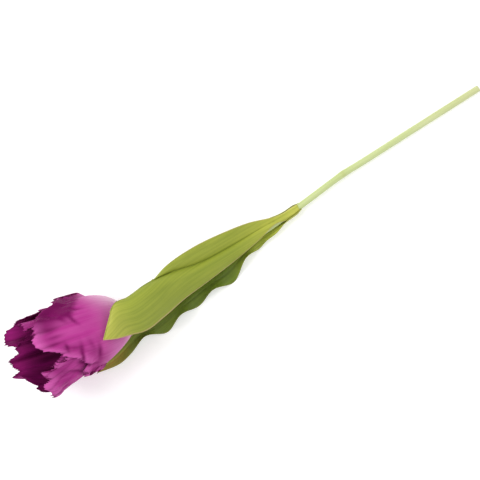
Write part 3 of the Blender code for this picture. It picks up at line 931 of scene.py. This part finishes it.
def flat_blade(leaf, x, across):
    """y and z of the blade: straight from rib to margin, raised by an arch, a bent sine across it."""
    share = np.abs(across)
    above = across > 0
    rib = guide(leaf, "rib", x)
    margin = np.where(above, guide(leaf, "upper", x), guide(leaf, "lower", x))
    rise = np.where(above, guide(leaf, "upper_rise", x), guide(leaf, "lower_rise", x))
    arch = guide(leaf, "arch", x) * np.where(above, UPPER_SIDE_ARCH, 1.0) * np.sin(math.pi * share**0.8)
    return rib + (margin - rib) * share, guide(leaf, "rib_z", x) + rise * share + arch


def waved_blade(leaf, x, across):
    """The flat blade, with a cosine wave and a small flutter at its margin, and grooves along it."""
    y, z = flat_blade(leaf, x, across)
    share = np.abs(across)
    tip = leaf["stations"][0]
    sideways, upward, pitch = leaf["wave"]
    edge = np.where(across > 0, UPPER_SIDE_WAVE, 1.0) * share**2
    edge = edge * smoothstep(x, *leaf["wave_from"]) * smoothstep(-x, -15.0, 5.0)
    wave = np.cos(2 * math.pi * (x - WAVE_START) / pitch) * edge
    flutter = np.sin(0.31 * x + 2.0) * np.sin(0.113 * x) * share**3
    flutter = flutter * smoothstep(-x, -10.0, 20.0) * smoothstep(x, tip, tip + 40.0)
    groove = (bump_at(share, 0.0, 0.07) + PLEAT_SHARE * pleats(across)) * smoothstep(-x, -20.0, 40.0)
    groove = groove * smoothstep(x, tip + 25.0, tip + 60.0)
    return y - sideways * wave, z - upward * wave + FLUTTER * flutter - GROOVE_DEPTH * groove


print(f"a leaf is {LEAF_THICKNESS} mm thick")

# %% [markdown]
# Near its root the same grid is wrapped round the stem, which makes the sheath with which a leaf clasps
# it. Where the blade comes too close to the stem it is pushed out to the sheath's radius, so the two never
# touch, and the last few millimetres of the root hug the stem more closely.

# %% A leaf's sheath
WRAP_FROM, WRAP_FULL = 20.0, 40.0
HUGGING_LENGTH = 6.0


def leaf_surface(leaf, along, across):
    """Points midway between the faces: the waved blade, wrapped round the stem toward its root."""
    stations = leaf["stations"]
    x = stations[-1] + (stations[0] - stations[-1]) * along
    y, z = waved_blade(leaf, x, across)
    stem_y, stem_z = stem_centre(x)
    arc_start, arc_end = leaf["sheath_arc"]
    turn = np.radians(arc_start + (arc_end - arc_start) * (across + 1) / 2)
    wrap = smoothstep(x, WRAP_FROM, WRAP_FULL)
    hugging = smoothstep(x, stations[-1] - HUGGING_LENGTH, stations[-1])
    radius = leaf["sheath_radius"] + (leaf["root_radius"] - leaf["sheath_radius"]) * hugging
    y = y + (stem_y + radius * np.sin(turn) - y) * wrap
    z = z + (stem_z + radius * np.cos(turn) - z) * wrap
    reach = np.hypot(y - stem_y, z - stem_z)
    clear = np.maximum(reach, radius) / reach
    y = stem_y + (y - stem_y) * clear
    z = np.maximum(stem_z + (z - stem_z) * clear, LEAF_THICKNESS / 2)
    return np.stack([x, y, z], -1)


print("the sheaths close round the stem between x =", WRAP_FROM, "and", WRAP_FULL, "mm")

# %% [markdown]
# The upper leaf lies over the stem and rests its tip on the bloom's shoulder, and the lower one passes
# under the bloom. Each list below has a reading for every station along x, from the tip to the root.

# %% The two leaves' guides
LEAVES = {
    "leaf_upper": {
        "stations": [-148.0, -138, -128, -115, -97, -75, -50, -20, 5, 25, 48],
        "upper": [-38.4, -27.0, -17.6, -18.6, -16.0, -8.1, -4.9, -5.7, -8.7, -13.8, -14.0],
        "rib": [-38.4, -28.0, -16.6, -16.2, -13.6, -14.6, -19.0, -19.3, -18.0, -16.7, -16.4],
        "lower": [-38.4, -42.6, -45.2, -48.5, -45.8, -40.5, -36.6, -31.4, -25.8, -19.8, -18.0],
        "rib_z": [66.0, 64.0, 59.5, 52.5, 42.5, 33.0, 25.0, 18.0, 14.0, 11.8, 9.8],
        "upper_rise": [0.0, -0.6, -1.5, -5.0, -5.0, 2.0, 5.0, 5.0, 3.5, 1.0, 0.0],
        "lower_rise": [0.0, -1.0, -3.0, -6.0, -6.0, -4.0, -2.0, -1.0, -1.0, 0.0, 0.0],
        "arch": [0.0, 1.5, 4.0, 7.0, 8.0, 7.0, 5.0, 3.0, 1.5, 0.3, 0.0],
        "sheath_radius": 3.45,
        "root_radius": 3.05,
        "sheath_arc": (-95.0, 75.0),
        "wave": (0.0, 0.9, 47.0),
        "wave_from": (-148.0, -118.0),
    },
    "leaf_lower": {
        "stations": [-172.5, -150, -125, -100, -65, -30, 0, 22, 50],
        "upper": [-62.0, -54.5, -45.0, -34.0, -25.0, -17.0, -12.0, -13.0, -14.0],
        "rib": [-62.0, -57.5, -51.0, -46.0, -39.0, -33.0, -25.0, -22.0, -16.4],
        "lower": [-62.0, -64.0, -55.6, -56.6, -49.0, -45.0, -31.5, -27.5, -19.0],
        "rib_z": [8.0, 5.0, 4.0, 4.0, 4.0, 4.0, 3.0, 2.6, 2.4],
        "upper_rise": [0.0, 1.0, 1.0, 2.0, 1.0, 0.0, 0.0, 0.3, 1.0],
        "lower_rise": [0.0, 1.0, 1.0, 1.0, 1.0, 1.0, 3.0, 4.0, 4.0],
        "arch": [0.0] * 9,
        "sheath_radius": 4.45,
        "root_radius": 3.25,
        "sheath_arc": (-50.0, -250.0),
        "wave": (2.6, 5.0, 36.0),
        "wave_from": (-150.0, -108.0),
    },
}
for name, leaf in LEAVES.items():
    print(f"{name} spans {leaf['stations'][-1] - leaf['stations'][0]:.0f} mm")

# %% [markdown]
# The upper leaf is an aged olive green that turns yellow toward its tip, and the lower one a darker green
# with a brown tip, whose colour is lifted by painted light where the bloom shades it. Both are yellow where
# they clasp the stem. Painted shade draws the midrib and the pleats as thin darker lines, painted light
# makes the upper half of each blade lighter, and parallel veins show as pale streaks. Leaf skin is smoother
# than a petal's, so it shines a little more.


# %% Leaf finishes
def leaf_finish(name, look):
    """Colours from root to tip, with painted light on the upper half, veins, painted shade along the midrib
    and pleats, and a thin rim at the margin.
    """
    made, tree, shader = start_finish(name, roughness=0.5, specular=0.3)
    veins = use_group(tree, veins_group, Count=70.0, Length=3.0, Offset=look["offset"])
    cloud = use_group(tree, clouds_group, Size=34.0)["Cloud"]
    colour = colours_along(tree, note(tree, "length"), look["stops"])
    # painted light: the upper half of the blade is made lighter
    colour = tinted(tree, colour, note(tree, "lit_upper_half"), 0.35, look["pale"])
    colour = tinted(tree, colour, veins["Fine"], 0.35, look["pale"])
    colour = tinted(tree, colour, veins["Broad"], 0.35, look["dark"])
    colour = tinted(tree, colour, cloud, 0.25, look["dark"])
    # painted shade along the midrib and the pleats
    colour = tinted(tree, colour, note(tree, "midrib"), 0.55, look["dark"])
    colour = tinted(tree, colour, step_between(tree, note(tree, "margin"), 0.7, 0.2), 0.6, look["rim"])
    finish_surface(tree, shader, colour, veins["Height"], 0.5, 0.0005)
    return made


leaf_finishes = {
    "leaf_upper": leaf_finish("leaf olive green", {
        "stops": [(0.0, (0.74, 0.72, 0.13)), (0.14, (0.46, 0.48, 0.06)), (0.36, (0.26, 0.31, 0.03)),
                  (0.82, (0.28, 0.33, 0.035)), (1.0, (0.54, 0.52, 0.09))],
        # colour of the veins and of the painted light on the upper half
        "pale": (0.36, 0.385, 0.045),
        "dark": (0.15, 0.20, 0.015),
        "rim": (0.50, 0.36, 0.16),
        "offset": 1.0,
    }),
    "leaf_lower": leaf_finish("leaf dark green", {
        "stops": [(0.0, (0.70, 0.70, 0.12)), (0.20, (0.46, 0.52, 0.06)), (0.38, (0.135, 0.20, 0.012)),
                  # the last stop is lighter than the tip's own brown: painted light against the bloom's
                  # shadow
                  (0.80, (0.13, 0.175, 0.012)), (0.94, (0.56, 0.45, 0.07))],
        # colour of the veins and of the painted light on the upper half
        "pale": (0.22, 0.30, 0.03),
        "dark": (0.05, 0.085, 0.004),
        "rim": (0.28, 0.28, 0.05),
        "offset": 6.0,
    }),
}
print("leaf finishes:", [finish.name for finish in leaf_finishes.values()])

# %% [markdown]
# Each leaf is a fine grid, thinner toward its margins and its tip. The notes give the share of the length,
# the distance to the margin, how near the midrib or a pleat is, and which half of the blade a point is on.
# The UV map measures sideways from the line midway between the margins, in shares of the widest place, so
# the veins stay parallel where the blade narrows and run out at its margin.

# %% The two leaves
LEAF_COLUMNS = 61
LEAF_ROWS = 401

for name, leaf in LEAVES.items():
    across_share, length = np.meshgrid(
        np.linspace(0.0, 1.0, LEAF_COLUMNS), np.linspace(0.0, 1.0, LEAF_ROWS), indexing="ij"
    )
    across = 2.0 * across_share - 1.0
    middle = leaf_surface(leaf, length, across)
    upper, lower = (guide(leaf, side, middle[..., 0]) for side in ("upper", "lower"))
    half = np.abs(upper - lower) / 2
    off_middle = (middle[..., 1] - (upper + lower) / 2) / (2.0 * half.max())
    thickness = LEAF_THICKNESS * (1.0 - 0.45 * smoothstep(np.abs(across), 0.8, 1.0))
    thickness = thickness * (1.0 - 0.5 * smoothstep(-length, -0.03, 0.0))
    # where painted shade draws the midrib and the pleats
    lines = bump_at(across, 0.0, 0.045) + 0.5 * pleats(across)
    notes = {
        "length": length,
        "margin": np.clip((1.0 - np.abs(across)) * half, 0.0, 30.0),
        "midrib": lines * smoothstep(length, 0.12, 0.3) * smoothstep(-length, -0.82, -0.70),
        # where painted light makes the upper half lighter
        "lit_upper_half": smoothstep(across, 0.0, 0.25),
    }
    outer = middle + grid_normals(middle) * thickness[..., None] / 2
    layout = (0.5 + off_middle, length)
    blade_piece(f"{name}_veined", outer, thickness, leaf_finishes[name], name, notes, layout)

# %% [markdown]
# Round pieces are rings of points along a line, joined by quads and closed at both ends by a fan.


# %% Rings along a line
def closed_tube(rings):
    """Points and faces of rings of points along a line, closed by a fan at each end."""
    stations, turns = rings.shape[:2]
    number = np.arange(stations * turns).reshape(stations, turns)
    after = np.roll(number, -1, axis=1)
    quads = np.stack([number[:-1], after[:-1], after[1:], number[1:]], -1).reshape(-1, 4)
    first, last = stations * turns, stations * turns + 1
    start = np.stack([np.full(turns, first), after[0], number[0]], -1)
    end = np.stack([np.full(turns, last), number[-1], after[-1]], -1)
    points = np.concatenate([rings.reshape(-1, 3), [rings[0].mean(0)], [rings[-1].mean(0)]])
    return points, quads.tolist() + start.tolist() + end.tolist()


def with_ends(values):
    """A note for each ring point, followed by those of the two end points."""
    return np.concatenate([values.ravel(), [values[0].mean()], [values[-1].mean()]])


print("a tube of 3 rings of 4 points has", len(closed_tube(np.zeros((3, 4, 3)))[1]), "faces")

# %% [markdown]
# Seen close, a tulip's stem has fine lengthwise fibres under a thin waxy skin, is yellower near the cut
# and greener near the bloom, and its cut end shows pale pith. The finish reads how far along the stem a
# point is, and the fibres come from the same vein group as the leaves' veins.


# %% The stem's finish
def stem_finish():
    """Pale green by the share of the length, fibres along it, a duller knot and pale pith."""
    made, tree, shader = start_finish("stem pale green", roughness=0.42, specular=0.4)
    veins = use_group(tree, veins_group, Count=26.0, Length=9.0, Offset=4.0)
    cloud = use_group(tree, clouds_group, Size=30.0)["Cloud"]
    stops = [
        (0.0, (0.56, 0.58, 0.29)), (0.3, (0.51, 0.58, 0.26)), (0.55, (0.47, 0.55, 0.22)),
        (0.9, (0.38, 0.49, 0.15)), (1.0, (0.45, 0.47, 0.18)),
    ]
    colour = colours_along(tree, note(tree, "length"), stops)
    colour = tinted(tree, colour, veins["Fine"], 0.28, (0.44, 0.53, 0.17))
    colour = tinted(tree, colour, veins["Broad"], 0.22, (0.76, 0.80, 0.52))
    colour = tinted(tree, colour, cloud, 0.22, (0.46, 0.55, 0.20))
    colour = tinted(tree, colour, note(tree, "knot"), 0.35, (0.42, 0.44, 0.14))
    colour = mixed(tree, note(tree, "pith"), colour, (0.80, 0.80, 0.58))
    finish_surface(tree, shader, colour, veins["Height"], 0.4, 0.0003)
    return made


# %% [markdown]
# The stem itself is the plainest round piece. Each ring stands square to the stem's line, its radius is a
# function of x, a few fine lengthwise ridges catch the light, and at the cut end a handful of smaller
# rings close it with a slightly domed disc of pith.

# %% The stem's rings
STEM_STATIONS = 720
STEM_TURNS = 36
STEM_RIDGES = 9
RIDGE_SHARE = 0.018
CUT_DOME = 0.35
CUT_RINGS = np.array([0.05, 0.35, 0.62, 0.80, 0.90, 0.97])

body_x = np.linspace(STEM_ROUTE[0, 0], STEM_ROUTE[-1, 0], STEM_STATIONS)
stem_x = np.concatenate([STEM_ROUTE[0, 0] - CUT_DOME * (1.0 - CUT_RINGS**2), body_x])
swell = np.concatenate([CUT_RINGS, np.ones(STEM_STATIONS)])
stem_line = np.stack([stem_x, *stem_centre(stem_x)], -1)
heading = np.gradient(np.stack([body_x, *stem_centre(body_x)], -1), axis=0)
heading = np.concatenate([np.tile(heading[0], (len(CUT_RINGS), 1)), heading])
heading = heading / np.linalg.norm(heading, axis=1, keepdims=True)
upward = np.array([0.0, 0.0, 1.0]) - heading[:, 2:] * heading
upward = upward / np.linalg.norm(upward, axis=1, keepdims=True)
sideways = np.cross(heading, upward)
turn = np.linspace(-math.pi, math.pi, STEM_TURNS, endpoint=False)
ridges = 1.0 + RIDGE_SHARE * np.cos(STEM_RIDGES * turn[None, :] + 0.4 * np.sin(stem_x[:, None] / 23.0))
radius = (stem_radius(stem_x) * swell)[:, None] * ridges
stem_rings = (
    stem_line[:, None]
    + (radius * np.cos(turn))[..., None] * upward[:, None]
    + (radius * np.sin(turn))[..., None] * sideways[:, None]
)
print("rings of the stem:", len(stem_rings))

# %% [markdown]
# Three notes go with the rings: the share of the length, the knot at the knee, and the pith, which covers
# the smaller rings of the cut end. Its UV map unrolls the stem, so that the fibres run along it.

# %% The stem
PITH_WITHIN = 0.93


def all_round(values):
    """A note that is the same all round each ring, for every point of the stem."""
    return with_ends(np.tile(values[:, None], (1, STEM_TURNS)))


points, faces = closed_tube(stem_rings)
stem_notes = {
    "length": all_round(np.linspace(0.0, 1.0, len(stem_x))),
    "knot": all_round(bump_at(stem_x, STEM_BEND_X, 1.6)),
    "pith": all_round(1.0 * (swell < PITH_WITHIN)),
}
round_share = with_ends(np.tile(turn / (2 * math.pi) + 0.5, (len(stem_x), 1)))
stem_layout = np.stack([round_share, stem_notes["length"]], -1)
new_piece("stem_fibred", points, faces, stem_finish(), "stem", stem_notes, stem_layout)

# %% [markdown]
# Inside the bloom stand one pistil and six stamens. Both are hardly seen from above, yet someone who looks
# into the mouth finds them. They share a powdery finish with one colour at the foot and one at the head.


# %% The finish of pistil and stamens
def in_bloom(out, aside, rise, azimuth=0.0):
    """Points from how far they lie out at an azimuth, aside from it, and up the bloom's axis."""
    outward = math.cos(azimuth) * bloom_up + math.sin(azimuth) * bloom_side
    across = -math.sin(azimuth) * bloom_up + math.cos(azimuth) * bloom_side
    return BLOOM_BASE + bloom_axis * rise[..., None] + outward * out[..., None] + across * aside[..., None]


def inner_finish(name, low, high, roughness, grain):
    """A colour for the foot and one for the head of a small part, with a powdery grain."""
    made, tree, shader = start_finish(name, roughness)
    place = add_node(tree, "ShaderNodeTexCoord").outputs["Object"]
    powder = add_node(tree, "ShaderNodeTexNoise", {"Vector": place, "Scale": grain, "Detail": 4.0})
    speckle = step_between(tree, powder.outputs["Fac"], 0.4, 0.65)
    cloud = use_group(tree, clouds_group, Size=8.0)["Cloud"]
    colour = mixed(tree, note(tree, "head"), low, high)
    colour = tinted(tree, colour, speckle, 0.35, tuple(0.5 * c for c in high))
    colour = tinted(tree, colour, cloud, 0.25, tuple(0.7 * c for c in low))
    finish_surface(tree, shader, colour, powder.outputs["Fac"], 0.5, 0.0003)
    return made


# %% [markdown]
# The pistil is a three-sided ovary under a three-lobed stigma. Its rings are circles whose radius follows
# three lobes round the axis, faint on the ovary and strong on the stigma, and they shrink to nothing at
# both ends as the rings of a ball do.

# %% The pistil
ROOT_GAP = 0.3
OVARY_LENGTH = 27.0
OVARY_RADIUS = 2.6
STIGMA_SPREAD = 2.4
PISTIL_STATIONS = 90
PISTIL_TURNS = 48

rise_share = (1.0 - np.cos(np.linspace(0.0, math.pi, PISTIL_STATIONS))) / 2
share, turn = np.meshgrid(
    rise_share[1:-1], np.linspace(0, 2 * math.pi, PISTIL_TURNS, endpoint=False), indexing="ij"
)
stigma = smoothstep(share, 0.80, 0.92)
lobes = np.cos(3 * turn)
ring = np.sqrt(1.0 - (2 * share - 1.0) ** 2)
radius = ring * (OVARY_RADIUS + 0.2 * lobes + stigma * (STIGMA_SPREAD + 1.3 * lobes))
rise = ROOT_GAP + OVARY_LENGTH * share
points, faces = closed_tube(in_bloom(radius * np.cos(turn), radius * np.sin(turn), rise))
ovary = inner_finish("ovary pale green", (0.46, 0.55, 0.20), (0.72, 0.66, 0.34), 0.5, 900.0)
new_piece("pistil_lobed", points, faces, ovary, "pistil", {"head": with_ends(stigma)})

# %% [markdown]
# A stamen is a thin filament under a long anther full of dark pollen. The six are joined at their roots by
# a collar round the ovary, as they grow from one ring of the receptacle, so they make one piece.

# %% The stamens' shapes
STAMEN_LENGTH = 31.0
FILAMENT_RADIUS = 0.8
ANTHER_SWELL = 1.0
COLLAR_RADIUS = 2.6
COLLAR_THICKNESS = 1.6
COLLAR_RISE = ROOT_GAP + COLLAR_THICKNESS / 2


def stamen_rings(azimuth, stations=70, turns=20):
    """A filament that thickens into an anther: radius 0.8, then 1.8 with a groove down each side."""
    share = (1.0 - np.cos(np.linspace(0.0, math.pi, stations))) / 2
    around = np.linspace(0, 2 * math.pi, turns, endpoint=False)
    share, turn = np.meshgrid(share[1:-1], around, indexing="ij")
    ring = np.sqrt(1.0 - (2 * share - 1.0) ** 2)
    anther = smoothstep(share, 0.52, 0.64)
    thick = (FILAMENT_RADIUS + ANTHER_SWELL * anther) * (1.0 - 0.16 * anther * np.cos(2 * turn) ** 8)
    centre = COLLAR_RADIUS + 1.6 * smoothstep(share, 0.0, 0.15) + 5.0 * share**1.5
    out = centre + thick * ring * np.cos(turn)
    rings = in_bloom(out, thick * ring * np.sin(turn), COLLAR_RISE + STAMEN_LENGTH * share, azimuth)
    return rings, anther


def collar_grid(round_axis, round_ring):
    """Points of the collar, a ring of round section: two angles, one round the axis and one round it."""
    out = COLLAR_RADIUS + COLLAR_THICKNESS / 2 * np.cos(round_ring)
    rise = COLLAR_RISE + COLLAR_THICKNESS / 2 * np.sin(round_ring)
    return in_bloom(out * np.cos(round_axis), out * np.sin(round_axis), rise)


print(f"stamens {STAMEN_LENGTH:.0f} mm long, anthers {2 * (FILAMENT_RADIUS + ANTHER_SWELL):.1f} mm thick")

# %% [markdown]
# The six tubes and the collar go into one mesh. Each part's face numbers start where the points before it
# end.

# %% The stamens
STAMENS = 6
FIRST_STAMEN = 30
COLLAR_COLUMNS = 48
COLLAR_ROWS = 16

points, faces, heads, start = [], [], [], 0
for number in range(STAMENS):
    rings, anther = stamen_rings(math.radians(360 / STAMENS * number + FIRST_STAMEN))
    more_points, more_faces = closed_tube(rings)
    faces += [[corner + start for corner in face] for face in more_faces]
    points.append(more_points)
    heads.append(with_ends(anther))
    start += len(more_points)

collar = collar_grid(*np.meshgrid(
    np.linspace(0, 2 * math.pi, COLLAR_COLUMNS, endpoint=False),
    np.linspace(0, 2 * math.pi, COLLAR_ROWS, endpoint=False),
    indexing="ij",
))
number = np.arange(COLLAR_COLUMNS * COLLAR_ROWS).reshape(COLLAR_COLUMNS, COLLAR_ROWS) + start
beside, above = np.roll(number, -1, axis=0), np.roll(number, -1, axis=1)
faces += np.stack([number, beside, np.roll(beside, -1, axis=1), above], -1).reshape(-1, 4).tolist()
points.append(collar.reshape(-1, 3))
heads.append(np.zeros(number.size))
pollen = inner_finish("anther plum", (0.30, 0.16, 0.24), (0.05, 0.02, 0.07), 0.75, 2600.0)
stamen_notes = {"head": np.concatenate(heads)}
new_piece("stamens_with_anthers", np.concatenate(points), faces, pollen, "stamens", stamen_notes)
